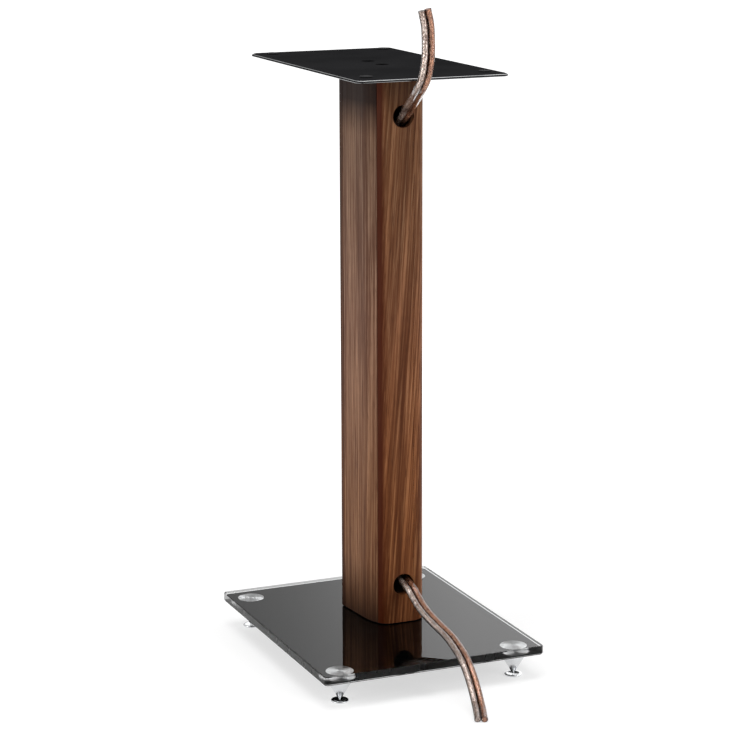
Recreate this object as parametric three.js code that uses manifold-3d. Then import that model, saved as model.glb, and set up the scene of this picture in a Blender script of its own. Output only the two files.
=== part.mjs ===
// A speaker stand: a hollow veneered column on a glass base, under a thin metal plate.
// The base stands on four polished spikes, which screw up and down studs under the glass.
// Each spike rests in a small shoe.
// A flat speaker cable runs inside the column and leaves it by a round hole at each end.
// Millimetres, +Z up. The floor is z = 0, the front is -Y and the cable holes face +Y.
import * as THREE from "three";
import { mergeVertices } from "three/addons/utils/BufferGeometryUtils.js";
import Module from "manifold-3d";

const wasm = await Module();
wasm.setup();

// Clearances
const gap = 0.3; // between pieces that touch, and round a screw in its thread
const throughCut = 5; // how far a cutting tool runs past the face that it cuts
const mergeDistance = 1e-3;

// Roundness
const footSides = 30;
const screwSides = 20;
const holeSides = 36;
const arcSteps = 5; // half the flat facets of a rounded corner

// Shoe
const shoeRadius = 8.75;
const shoeHeight = 2;
const shoeBevel = 0.4;
const dishRadius = 6.4;
const dishDepth = 1;
const dishSteps = 3;

// Spike
const spikeRadius = 13;
const spikeHeight = 21.4;
const spikeTipRadius = 0.7;
const spikeTipHeight = 0.3;
const spikeSolidTip = 6.4; // from the tip to the floor of the threaded bore

// Foot plate and its stud
const footPlateRadius = 13.5;
const footPlateHeight = 2.6;
const footPlateBevel = 0.4;
const studRadius = 3;
const studRunOut = 1.3; // of the spike's bore, past the end of the stud
const footInsetX = 23.6; // from the side of the glass to the stud
const footInsetY = 21.7; // from the front or rear of the glass to the stud

// Base glass and the black layer under it
const baseWidth = 234;
const baseDepth = 290;
const glassThickness = 8.2;
const glassCornerRadius = 4.5;
const glassBevel = 0.6;
const backingThickness = 0.5;
const backingInset = 1;

// Column
const columnLength = 561.6;
const columnHalfWidth = 31; // where its straight sides meet the bows
const columnDepth = 78.4;
const sideSplay = THREE.MathUtils.degToRad(5.5); // of the straight sides, outwards to the front
const boardThickness = 8;
const bowRadius = 58; // of the two side boards, towards the rear
const bowTurn = THREE.MathUtils.degToRad(27.5);
const rearCornerRadius = 14.3;
const frontCornerRadius = 2;
const columnX = -16.8;
const columnRearOffset = 24.9; // from the middle of the glass to the rear of the column
const gasketThickness = 0.4;
const gasketInset = 1.2;

// Cable holes
const cableHoleRadius = 11;
const cableHoleOffsetX = -0.6; // from the middle of the column
const lowerHoleRise = 3.9; // from the block at the foot of the column to the edge of the hole
const upperHoleDrop = 9.6; // from the block at the head of the column to the edge of the hole

// Top plate
const plateWidth = 156;
const plateDepth = 286;
const plateThickness = 3;
const plateCornerRadius = 8;
const plateBevelWidth = 3;
const plateBevelHeight = 1;
const plateX = -5;
const plateForward = 16.2; // how far the plate's middle lies in front of the glass's

// Pads on the plate
const padRadius = 6.25;
const padThickness = 1.2;
const padBevel = 0.2;
const padInsetX = 17;
const padInsetY = 21;

// Screws, inserts and blocks
const screwRadius = 3;
const screwSpacing = 35;
const screwHeadRadius = 6.7;
const screwHeadHeight = 3.7;
const screwHeadSink = 0.1; // of a countersunk head, below the plate
const socketRadius = 2.2;
const socketDepth = 2;
const socketSides = 6;
const baseHeadRadius = 5.5;
const baseHeadHeight = 3.3;
const washerRadius = 9;
const washerThickness = 1.5;
const bushRadius = 5.7;
const insertRadius = 4.5;
const insertLength = 12.5;
const insertRecess = 1; // below the face of its block
const boreRunOut = 1.5; // of a block's bore, past the screw's tip
const blockHeight = 25;

// Speaker cable: a flat oval section that keeps its width across X
const cableWidth = 13.2;
const cableThickness = 6;
const cableStep = 9;
const cableArcSteps = 2;

// Route of the stretch above the upper hole, from the hole to its free end
const upperCableRoute = [
  [-18.4, 34.1, 553.3],
  [-18.2, 38, 556],
  [-16.9, 44, 559.4],
  [-14.3, 52, 561.9],
  [-11, 62, 564.4],
  [-3, 88, 572.8],
  [5.6, 115, 581.3],
  [10.6, 132, 587.4],
  [11.9, 139.5, 592],
  [10.5, 144, 599.8],
  [9.5, 146, 607.6],
  [8.1, 146.5, 619.1],
  [7.9, 146.5, 634.2],
  [9, 147, 649.4],
  [12.4, 148, 663.2],
];

// Route of the stretch below the lower hole, from the hole to its free end on the floor
const lowerCableRoute = [
  [-19.4, 34.1, 77.3],
  [-19.4, 38.4, 76.4],
  [-19.6, 45, 74],
  [-20.1, 53, 69.5],
  [-20, 68, 63.2],
  [-20.4, 87, 58],
  [-22.6, 106, 53],
  [-24.6, 126, 48.4],
  [-24.1, 145, 44],
  [-22.2, 164, 39.7],
  [-20.9, 177, 33.9],
  [-20.2, 187, 26.9],
  [-19.2, 196, 19.7],
  [-17.7, 205, 12.8],
  [-14.6, 217, 7],
  [-10.8, 228, 4.2],
  [-7.1, 237.5, 3.3],
];

// Route inside the column, from the lower hole to the upper one
const insideCableRoute = [
  [-19.4, 33.8, 77.4],
  [-19.4, 29, 78.4],
  [-19.4, 24, 79.5],
  [-19.3, 16, 82.8],
  [-19.1, 9, 89],
  [-19, 3, 102],
  [-19, 0, 127],
  [-19, 0, 200],
  [-19, 0, 300],
  [-19, 0, 400],
  [-19, 0, 475],
  [-19, 1.5, 500],
  [-19, 6, 519],
  [-18.9, 12, 532],
  [-18.8, 18, 540.6],
  [-18.7, 24, 546.2],
  [-18.6, 29, 549.7],
  [-18.4, 33.8, 553.1],
];

// Heights, stacked up from the floor
const spikeBottom = shoeHeight - dishDepth + gap;
const spikeTop = spikeBottom + spikeHeight;
const footPlateBottom = spikeTop + gap;
const footPlateTop = footPlateBottom + footPlateHeight;
const glassBottom = footPlateTop + gap;
const glassTop = glassBottom + glassThickness;
const backingTop = glassBottom - gap;
const backingBottom = backingTop - backingThickness;
const gasketBottom = glassTop + gap;
const columnBottom = gasketBottom + gasketThickness + gap;
const columnTop = columnBottom + columnLength;
const plateBottom = columnTop + gap;
const plateTop = plateBottom + plateThickness;
const washerTop = backingBottom - gap;
const washerBottom = washerTop - washerThickness;
const baseHeadTop = washerBottom - gap;
const baseScrewTip = columnBottom + insertRecess + insertLength;
const topScrewTip = columnTop - insertRecess - insertLength;

// Places in plan, with the origin in the middle of the whole stand's depth
const overallDepth = baseDepth / 2 + plateForward + plateDepth / 2;
const baseY = (overallDepth - baseDepth) / 2;
const plateY = baseY - plateForward;
const columnRear = baseY + columnRearOffset;
const columnFront = columnRear - columnDepth;
const columnY = (columnFront + columnRear) / 2;
const footX = baseWidth / 2 - footInsetX;
const footY = baseDepth / 2 - footInsetY;
const boreRadius = screwRadius + gap; // of an insert, round its screw
const spikeBoreRadius = studRadius + gap;
const studLength = spikeHeight - spikeSolidTip + gap - studRunOut;
const lowerHoleZ = columnBottom + blockHeight + lowerHoleRise + cableHoleRadius;
const upperHoleZ = columnTop - blockHeight - upperHoleDrop - cableHoleRadius;
const boardInner = boardThickness + gap; // from the outside of the column to what its boards hold

// Section of the column: a splayed straight side, a bow, a tight corner and a flat rear
const bowCentreY = columnRear - rearCornerRadius - (bowRadius - rearCornerRadius) * Math.sin(bowTurn);
const bowCentreX = columnHalfWidth - bowRadius;
const rearCornerX = bowCentreX + (bowRadius - rearCornerRadius) * Math.cos(bowTurn);
const rearCornerY = columnRear - rearCornerRadius;

const feet = [
  { name: "front_left", x: -footX, y: baseY - footY },
  { name: "front_right", x: footX, y: baseY - footY },
  { name: "rear_right", x: footX, y: baseY + footY },
  { name: "rear_left", x: -footX, y: baseY + footY },
];
const topScrews = [
  { name: "front", x: plateX, y: plateY - screwSpacing / 2 },
  { name: "rear", x: plateX, y: plateY + screwSpacing / 2 },
];
const baseScrews = [
  { name: "front", x: columnX, y: columnY - screwSpacing / 2 },
  { name: "rear", x: columnX, y: columnY + screwSpacing / 2 },
];

const materials = {
  glass: { color: 0x8fa09c, roughness: 0.05, metalness: 0, transparent: true, opacity: 0.45 },
  backing: { color: 0x0b0b0c, roughness: 0.4, metalness: 0 },
  polished: { color: 0xc9ccd0, roughness: 0.12, metalness: 1 },
  brushed: { color: 0xa9abad, roughness: 0.35, metalness: 1 },
  veneer: { color: 0x6d4731, roughness: 0.55, metalness: 0 },
  timber: { color: 0xb99b72, roughness: 0.8, metalness: 0 },
  plate: { color: 0x1d1d1e, roughness: 0.45, metalness: 0.4 },
  screw: { color: 0x161616, roughness: 0.4, metalness: 0.8 },
  steel: { color: 0x9a9c9f, roughness: 0.35, metalness: 1 },
  brass: { color: 0xb08d4a, roughness: 0.35, metalness: 1 },
  nylon: { color: 0xdad8d0, roughness: 0.5, metalness: 0 },
  rubber: { color: 0x191919, roughness: 0.85, metalness: 0 },
  cable: { color: 0xb98a6c, roughness: 0.3, metalness: 0.2 },
};

// Solids

function solidFrom(geometry) {
  const corners = geometry.index ? geometry.toNonIndexed() : geometry;
  const bare = new THREE.BufferGeometry().setAttribute("position", corners.getAttribute("position"));
  const merged = mergeVertices(bare, mergeDistance);
  const mesh = new wasm.Mesh({
    numProp: 3,
    vertProperties: merged.attributes.position.array,
    triVerts: new Uint32Array(merged.index.array),
  });
  return new wasm.Manifold(mesh);
}

function geometryFrom(solid) {
  const mesh = solid.getMesh();
  const geometry = new THREE.BufferGeometry();
  geometry.setAttribute("position", new THREE.BufferAttribute(mesh.vertProperties, 3));
  geometry.setIndex(new THREE.BufferAttribute(mesh.triVerts, 1));
  geometry.computeVertexNormals();
  return geometry;
}

function cut(geometry, tools) {
  return geometryFrom(tools.reduce((solid, tool) => solid.subtract(solidFrom(tool)), solidFrom(geometry)));
}

function join(geometry, other) {
  return geometryFrom(solidFrom(geometry).add(solidFrom(other)));
}

// A round solid about Z from its half profile of [radius, height] points, upwards on its outside.
function turned(profile, sides) {
  const points = profile.map(([radius, height]) => new THREE.Vector2(radius, height));
  return new THREE.LatheGeometry(points, sides).rotateX(Math.PI / 2);
}

function rod(radius, bottom, top, sides) {
  return turned([[0, bottom], [radius, bottom], [radius, top], [0, top]], sides);
}

function bevelledDisc(radius, thickness, bevel, sides) {
  const profile = [
    [0, 0],
    [radius - bevel, 0],
    [radius, bevel],
    [radius, thickness - bevel],
    [radius - bevel, thickness],
    [0, thickness],
  ];
  return turned(profile, sides);
}

function ring(outerRadius, innerRadius, bottom, top, sides) {
  const profile = [
    [innerRadius, bottom],
    [outerRadius, bottom],
    [outerRadius, top],
    [innerRadius, top],
    [innerRadius, bottom],
  ];
  return turned(profile, sides);
}

// A flat sheet of the given outline, with its lower face at z = bottom.
function sheet(outline, bottom, thickness, bevel = 0) {
  const settings = { depth: thickness - 2 * bevel, curveSegments: arcSteps, bevelEnabled: bevel > 0 };
  if (bevel > 0) {
    const rim = { bevelThickness: bevel, bevelSize: bevel, bevelOffset: -bevel, bevelSegments: 1 };
    Object.assign(settings, rim);
  }
  return new THREE.ExtrudeGeometry(outline, settings).translate(0, 0, bottom + bevel);
}

function roundedRectangle(width, depth, radius) {
  const x = width / 2;
  const y = depth / 2;
  const shape = new THREE.Shape();
  shape.moveTo(x, radius - y);
  shape.absarc(x - radius, y - radius, radius, 0, Math.PI / 2);
  shape.absarc(radius - x, y - radius, radius, Math.PI / 2, Math.PI);
  shape.absarc(radius - x, radius - y, radius, Math.PI, 1.5 * Math.PI);
  shape.absarc(x - radius, radius - y, radius, 1.5 * Math.PI, 2 * Math.PI);
  return shape;
}

function piece(name, geometry, material) {
  const mesh = new THREE.Mesh(geometry, new THREE.MeshStandardMaterial(materials[material]));
  mesh.name = name;
  return mesh;
}

function at(mesh, x, y, z = 0) {
  mesh.position.set(x, y, z);
  return mesh;
}

// Feet

function shoe() {
  const profile = [
    [0, 0],
    [shoeRadius - shoeBevel, 0],
    [shoeRadius, shoeBevel],
    [shoeRadius, shoeHeight - shoeBevel],
    [shoeRadius - shoeBevel, shoeHeight],
  ];
  for (let step = dishSteps; step >= 0; step--) {
    const reach = step / dishSteps;
    profile.push([dishRadius * reach, shoeHeight - dishDepth * (1 - reach ** 2)]);
  }
  return turned(profile, footSides);
}

function spike() {
  const profile = [
    [0, 0],
    [spikeTipRadius, spikeTipHeight],
    [spikeRadius, spikeHeight],
    [spikeBoreRadius, spikeHeight],
    [spikeBoreRadius, spikeSolidTip],
    [0, spikeSolidTip],
  ];
  return turned(profile, footSides);
}

function footPlate() {
  const disc = bevelledDisc(footPlateRadius, footPlateHeight, footPlateBevel, footSides);
  return join(disc, rod(studRadius, -studLength, footPlateHeight / 2, screwSides));
}

// Base

function screwHoles(screws, radius, bottom, top) {
  return screws.map(({ x, y }) => {
    const tool = rod(radius, bottom - throughCut, top + throughCut, screwSides);
    return tool.translate(x, y, 0);
  });
}

function baseGlass() {
  const outline = roundedRectangle(baseWidth, baseDepth, glassCornerRadius);
  const glass = sheet(outline, glassBottom, glassThickness, glassBevel).translate(0, baseY, 0);
  return cut(glass, screwHoles(baseScrews, bushRadius + gap, glassBottom, glassTop));
}

function baseBacking() {
  const width = baseWidth - 2 * backingInset;
  const depth = baseDepth - 2 * backingInset;
  const outline = roundedRectangle(width, depth, glassCornerRadius - backingInset);
  const film = sheet(outline, backingBottom, backingThickness).translate(0, baseY, 0);
  const windows = feet.map(({ x, y }) => {
    const tool = rod(footPlateRadius + gap, backingBottom - throughCut, backingTop + throughCut, footSides);
    return tool.translate(x, y, 0);
  });
  return cut(film, [...windows, ...screwHoles(baseScrews, bushRadius + gap, backingBottom, backingTop)]);
}

// Column

// Half the width between the straight sides at a place in Y, each drawn in by the given distance.
function sideX(y, inset = 0) {
  return bowCentreX + (bowRadius - inset) / Math.cos(sideSplay) + (bowCentreY - y) * Math.tan(sideSplay);
}

// The outline of the column, drawn in by the given distance.
function columnOutline(inset) {
  const front = columnFront + inset;
  const side = sideX(front, inset);
  const bow = bowRadius - inset;
  const corner = Math.max(rearCornerRadius - inset, gap);
  const shape = new THREE.Shape();
  shape.moveTo(-side, front);
  shape.lineTo(side, front);
  shape.absarc(bowCentreX, bowCentreY, bow, sideSplay, bowTurn);
  shape.absarc(rearCornerX, rearCornerY, corner, bowTurn, Math.PI / 2);
  shape.absarc(-rearCornerX, rearCornerY, corner, Math.PI / 2, Math.PI - bowTurn);
  shape.absarc(-bowCentreX, bowCentreY, bow, Math.PI - bowTurn, Math.PI - sideSplay);
  return shape;
}

function frontPanel() {
  const corner = frontCornerRadius;
  const inner = columnFront + boardThickness;
  const cornerY = columnFront + corner;
  const cornerX = sideX(cornerY, corner);
  const shape = new THREE.Shape();
  shape.moveTo(sideX(inner), inner);
  shape.lineTo(-sideX(inner), inner);
  shape.absarc(-cornerX, cornerY, corner, Math.PI - sideSplay, 1.5 * Math.PI);
  shape.absarc(cornerX, cornerY, corner, 1.5 * Math.PI, 2 * Math.PI + sideSplay);
  return sheet(shape, columnBottom, columnLength);
}

// The side board at +X; the one at -X is its mirror image.
function sidePanelShape() {
  const start = columnFront + boardInner;
  const end = bowTurn - gap / bowRadius;
  const shape = new THREE.Shape();
  shape.moveTo(sideX(start, boardThickness), start);
  shape.lineTo(sideX(start), start);
  shape.absarc(bowCentreX, bowCentreY, bowRadius, sideSplay, end);
  shape.absarc(bowCentreX, bowCentreY, bowRadius - boardThickness, end, sideSplay, true);
  return shape;
}

function mirrored(shape) {
  const points = shape.getPoints(arcSteps).map(({ x, y }) => new THREE.Vector2(-x, y));
  return new THREE.Shape(points.reverse());
}

function sidePanel(shape) {
  return sheet(shape, columnBottom, columnLength);
}

function rearPanel() {
  const outer = rearCornerRadius;
  const inner = Math.max(rearCornerRadius - boardThickness, gap);
  const seam = bowTurn;
  const shape = new THREE.Shape();
  shape.moveTo(rearCornerX + outer * Math.cos(seam), rearCornerY + outer * Math.sin(seam));
  shape.absarc(rearCornerX, rearCornerY, outer, seam, Math.PI / 2);
  shape.absarc(-rearCornerX, rearCornerY, outer, Math.PI / 2, Math.PI - seam);
  shape.absarc(-rearCornerX, rearCornerY, inner, Math.PI - seam, Math.PI / 2, true);
  shape.absarc(rearCornerX, rearCornerY, inner, Math.PI / 2, seam, true);
  const holes = [lowerHoleZ, upperHoleZ].map((height) => {
    const length = boardThickness + 2 * throughCut;
    const tool = new THREE.CylinderGeometry(cableHoleRadius, cableHoleRadius, length, holeSides);
    return tool.translate(cableHoleOffsetX, columnRear - boardThickness / 2, height);
  });
  return cut(sheet(shape, columnBottom, columnLength), holes);
}

function columnGasket() {
  const felt = sheet(columnOutline(gasketInset), gasketBottom, gasketThickness);
  const holes = screwHoles(baseScrews, boreRadius, gasketBottom, columnBottom);
  return cut(felt, holes.map((tool) => tool.translate(-columnX, 0, 0)));
}

function block(bottom, screws, boreBottom, boreTop) {
  const body = sheet(columnOutline(boardInner), bottom, blockHeight);
  const bores = screws.map(({ x, y }) => {
    const tool = rod(insertRadius + gap, boreBottom, boreTop, screwSides);
    return tool.translate(x - columnX, y, 0);
  });
  return cut(body, bores);
}

function topBlock() {
  return block(columnTop - blockHeight, topScrews, topScrewTip - boreRunOut, columnTop + throughCut);
}

function bottomBlock() {
  return block(columnBottom, baseScrews, columnBottom - throughCut, baseScrewTip + boreRunOut);
}

// Fixings

function socket(top) {
  const tool = new THREE.CylinderGeometry(socketRadius, socketRadius, 2 * socketDepth, socketSides);
  return tool.rotateX(Math.PI / 2).translate(0, 0, top);
}

function topScrew() {
  const headTop = -screwHeadSink;
  const tip = topScrewTip - plateTop;
  const profile = [
    [0, tip],
    [screwRadius, tip],
    [screwRadius, headTop - screwHeadHeight],
    [screwHeadRadius, headTop],
    [0, headTop],
  ];
  return cut(turned(profile, footSides), [socket(headTop)]);
}

function baseScrew() {
  const tip = baseScrewTip - baseHeadTop;
  const profile = [
    [0, -baseHeadHeight],
    [baseHeadRadius, -baseHeadHeight],
    [baseHeadRadius, 0],
    [screwRadius, 0],
    [screwRadius, tip],
    [0, tip],
  ];
  return cut(turned(profile, screwSides), [socket(-baseHeadHeight)]);
}

// Top plate

function topPlate() {
  const outline = roundedRectangle(plateWidth, plateDepth, plateCornerRadius);
  const twice = new THREE.ExtrudeGeometry(outline, {
    depth: 2 * (plateThickness - plateBevelHeight),
    curveSegments: arcSteps,
    bevelThickness: plateBevelHeight,
    bevelSize: plateBevelWidth,
    bevelOffset: -plateBevelWidth,
    bevelSegments: 1,
  }).translate(plateX, plateY, plateBottom - plateThickness + plateBevelHeight);
  const lowerHalf = new THREE.BoxGeometry(2 * plateWidth, 2 * plateDepth, 2 * plateThickness);
  lowerHalf.translate(plateX, plateY, plateBottom - plateThickness);
  const wide = screwHeadRadius + gap;
  const narrow = screwRadius + gap;
  const countersinks = topScrews.map(({ x, y }) => {
    const profile = [
      [0, plateBottom - throughCut],
      [narrow, plateBottom - throughCut],
      [narrow, plateTop - wide + narrow],
      [wide, plateTop],
      [wide, plateTop + throughCut],
      [0, plateTop + throughCut],
    ];
    return turned(profile, footSides).translate(x, y, 0);
  });
  return cut(twice, [lowerHalf, ...countersinks]);
}

// Speaker cable

// A curve whose section stays level: its first side is kept across X all the way along.
class LevelCurve extends THREE.CatmullRomCurve3 {
  computeFrenetFrames(steps) {
    const tangents = [];
    const normals = [];
    const binormals = [];
    for (let step = 0; step <= steps; step++) {
      const tangent = this.getTangentAt(step / steps);
      const binormal = new THREE.Vector3().crossVectors(tangent, new THREE.Vector3(1, 0, 0)).normalize();
      tangents.push(tangent);
      binormals.push(binormal);
      normals.push(new THREE.Vector3().crossVectors(binormal, tangent));
    }
    return { tangents, normals, binormals };
  }
}

function cableSection() {
  const radius = cableThickness / 2;
  const middle = cableWidth / 2 - radius;
  const shape = new THREE.Shape();
  shape.moveTo(middle, -radius);
  shape.absarc(middle, 0, radius, -Math.PI / 2, Math.PI / 2);
  shape.absarc(-middle, 0, radius, Math.PI / 2, 1.5 * Math.PI);
  return new THREE.Shape(shape.getPoints(cableArcSteps));
}

function cable(route) {
  const curve = new LevelCurve(route.map((point) => new THREE.Vector3(...point)));
  const steps = Math.round(curve.getLength() / cableStep);
  return new THREE.ExtrudeGeometry(cableSection(), { steps, extrudePath: curve });
}

// The stand

const stand = new THREE.Group();

for (const { name, x, y } of feet) {
  stand.add(at(piece(`shoe_${name}`, shoe(), "polished"), x, y));
  stand.add(at(piece(`spike_${name}`, spike(), "polished"), x, y, spikeBottom));
  stand.add(at(piece(`foot_plate_${name}`, footPlate(), "brushed"), x, y, footPlateBottom));
}

stand.add(piece("base_glass", baseGlass(), "glass"));
stand.add(piece("base_backing", baseBacking(), "backing"));

const column = new THREE.Group();
column.position.x = columnX;
column.add(piece("column_front_panel", frontPanel(), "veneer"));
column.add(piece("column_rear_panel", rearPanel(), "veneer"));
column.add(piece("column_right_panel", sidePanel(sidePanelShape()), "veneer"));
column.add(piece("column_left_panel", sidePanel(mirrored(sidePanelShape())), "veneer"));
column.add(piece("column_gasket", columnGasket(), "rubber"));
column.add(piece("column_top_block", topBlock(), "timber"));
column.add(piece("column_bottom_block", bottomBlock(), "timber"));
stand.add(column);

for (const { name, x, y } of baseScrews) {
  const washer = ring(washerRadius, boreRadius, washerBottom, washerTop, screwSides);
  const bush = ring(bushRadius, boreRadius, backingBottom, glassTop, screwSides);
  const insertBottom = columnBottom + insertRecess;
  const insert = ring(insertRadius, boreRadius, insertBottom, insertBottom + insertLength, screwSides);
  stand.add(at(piece(`base_screw_${name}`, baseScrew(), "steel"), x, y, baseHeadTop));
  stand.add(at(piece(`base_washer_${name}`, washer, "steel"), x, y));
  stand.add(at(piece(`base_bush_${name}`, bush, "nylon"), x, y));
  stand.add(at(piece(`base_insert_${name}`, insert, "brass"), x, y));
}

stand.add(piece("top_plate", topPlate(), "plate"));
for (const { name, x, y } of topScrews) {
  const insertTop = columnTop - insertRecess;
  const insert = ring(insertRadius, boreRadius, insertTop - insertLength, insertTop, screwSides);
  stand.add(at(piece(`top_screw_${name}`, topScrew(), "screw"), x, y, plateTop));
  stand.add(at(piece(`top_insert_${name}`, insert, "brass"), x, y));
}

const padX = plateWidth / 2 - padInsetX;
const padY = plateDepth / 2 - padInsetY;
for (const [name, x, y] of [
  ["front_left", -padX, -padY],
  ["front_right", padX, -padY],
  ["rear_right", padX, padY],
  ["rear_left", -padX, padY],
]) {
  const pad = bevelledDisc(padRadius, padThickness, padBevel, footSides);
  stand.add(at(piece(`pad_${name}`, pad, "rubber"), plateX + x, plateY + y, plateTop + gap));
}

stand.add(piece("cable_upper", cable(upperCableRoute), "cable"));
stand.add(piece("cable_inside", cable(insideCableRoute), "cable"));
stand.add(piece("cable_lower", cable(lowerCableRoute), "cable"));

export default stand;
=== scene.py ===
"""A speaker stand: a bowed walnut column on a glass base with screw spikes, under a thin dark plate,
with a clear twin speaker cable that runs through the column. Metres, +Z up, the cable holes face +Y."""

from math import asin, ceil, cos, pi, radians, sin, sqrt, tan

import bmesh
import bpy
from mathutils import Matrix, Vector


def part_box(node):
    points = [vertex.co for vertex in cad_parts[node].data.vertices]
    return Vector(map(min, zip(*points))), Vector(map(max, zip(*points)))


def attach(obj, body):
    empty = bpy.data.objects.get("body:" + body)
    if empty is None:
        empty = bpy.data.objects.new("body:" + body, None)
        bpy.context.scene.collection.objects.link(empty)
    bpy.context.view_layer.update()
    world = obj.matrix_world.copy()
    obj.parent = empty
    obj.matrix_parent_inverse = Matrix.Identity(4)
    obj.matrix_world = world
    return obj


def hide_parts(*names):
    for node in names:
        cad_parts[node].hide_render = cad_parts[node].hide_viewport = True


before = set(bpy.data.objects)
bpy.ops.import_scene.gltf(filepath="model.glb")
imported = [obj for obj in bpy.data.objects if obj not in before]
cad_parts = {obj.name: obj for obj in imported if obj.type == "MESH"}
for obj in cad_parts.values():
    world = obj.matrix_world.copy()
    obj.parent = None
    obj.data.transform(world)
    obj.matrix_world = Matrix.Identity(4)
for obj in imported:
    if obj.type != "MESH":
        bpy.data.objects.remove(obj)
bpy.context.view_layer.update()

MM = 0.001
FEET = ("front_left", "front_right", "rear_right", "rear_left")
ENDS = ("front", "rear")
SMOOTH = radians(28)  # faces that meet at less than this are shaded as one
TOOL_REACH = 20 * MM  # of a cutter, past the middle or the face of what it cuts
ON_AXIS = 1e-7


# Camera

CAMERA_TARGET = Vector((3.3, 8.2, 290.1)) * MM
CAMERA_DISTANCE = 2470.87 * MM
CAMERA_AZIMUTH = radians(156.94)
CAMERA_ELEVATION = radians(12.98)
CAMERA_ROLL = radians(-0.17)
LENS = 118.47
SENSOR_WIDTH = 36


def add_camera():
    across = Vector((cos(CAMERA_AZIMUTH), sin(CAMERA_AZIMUTH), 0))
    level = cos(CAMERA_ELEVATION)
    towards = Vector((sin(CAMERA_AZIMUTH) * level, -cos(CAMERA_AZIMUTH) * level, sin(CAMERA_ELEVATION)))
    up = towards.cross(across)
    right = across * cos(CAMERA_ROLL) + up * sin(CAMERA_ROLL)
    top = up * cos(CAMERA_ROLL) - across * sin(CAMERA_ROLL)
    place = Matrix((right, top, towards)).transposed().to_4x4()
    place.translation = CAMERA_TARGET + towards * CAMERA_DISTANCE
    data = bpy.data.cameras.new("camera")
    data.lens = LENS
    data.sensor_width = SENSOR_WIDTH
    data.clip_end = 100
    camera = bpy.data.objects.new("camera", data)
    camera.matrix_world = place
    bpy.context.scene.collection.objects.link(camera)
    bpy.context.scene.camera = camera


# Materials


class Paint:
    """A material being made: its nodes, its Principled shader and short ways to add nodes."""

    def __init__(self, name, **settings):
        self.material = bpy.data.materials.new(name)
        self.material.use_nodes = True
        self.tree = self.material.node_tree
        self.shader = self.tree.nodes["Principled BSDF"]
        for socket, value in settings.items():
            self.shader.inputs[socket.replace("_", " ")].default_value = value

    def node(self, kind, inputs=None, **settings):
        made = self.tree.nodes.new("ShaderNode" + kind)
        for name, value in settings.items():
            setattr(made, name, value)
        for socket, value in (inputs or {}).items():
            self.set(made.inputs[socket], value)
        return made

    def set(self, socket, value):
        if isinstance(value, bpy.types.NodeSocket):
            self.tree.links.new(value, socket)
        else:
            socket.default_value = value

    def place(self, scale, turn=(0, 0, 0)):
        """The object's own coordinates, turned and then scaled: with these in features per metre."""
        where = self.node("TexCoord").outputs["Object"]
        leaning = self.node("Mapping", {"Vector": where, "Rotation": turn}).outputs["Vector"]
        return self.node("VectorMath", {0: leaning, 1: scale}, operation="MULTIPLY").outputs["Vector"]

    def noise(self, scale, detail=2, roughness=0.5, turn=(0, 0, 0), distortion=0):
        inputs = {
            "Vector": self.place(scale, turn),
            "Scale": 1,
            "Detail": detail,
            "Roughness": roughness,
            "Distortion": distortion,
        }
        return self.node("TexNoise", inputs).outputs["Fac"]

    def ramp(self, value, *stops):
        made = self.node("ValToRGB", {"Fac": value})
        band = made.color_ramp
        while len(band.elements) < len(stops):
            band.elements.new(0.5)
        for element, (position, colour) in zip(band.elements, stops):
            element.position = position
            element.color = (*colour, 1)
        return made.outputs["Color"]

    def levels(self, value, low, high, to_low=0, to_high=1):
        inputs = {"Value": value, "From Min": low, "From Max": high, "To Min": to_low, "To Max": to_high}
        return self.node("MapRange", inputs).outputs["Result"]

    def mix(self, share, first, second, way="MIX"):
        made = self.node("Mix", data_type="RGBA", blend_type=way)
        self.set(made.inputs["Factor"], share)
        self.set(made.inputs["A"], first)
        self.set(made.inputs["B"], second)
        return made.outputs["Result"]

    def combine(self, first, second, way="ADD"):
        made = self.node("Math", operation=way)
        self.set(made.inputs[0], first)
        self.set(made.inputs[1], second)
        return made.outputs["Value"]

    def paint(self, socket, value):
        self.set(self.shader.inputs[socket], value)

    def bump(self, height, distance, strength=1.0):
        inputs = {"Height": height, "Distance": distance, "Strength": strength}
        self.paint("Normal", self.node("Bump", inputs).outputs["Normal"])


def linear(red, green, blue):
    """A colour given in screen values from 0 to 255."""
    shares = (red / 255, green / 255, blue / 255)
    return tuple(((v + 0.055) / 1.055) ** 2.4 if v > 0.04 else v / 12.92 for v in shares)


def grey(value):
    return (value, value, value)


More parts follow.
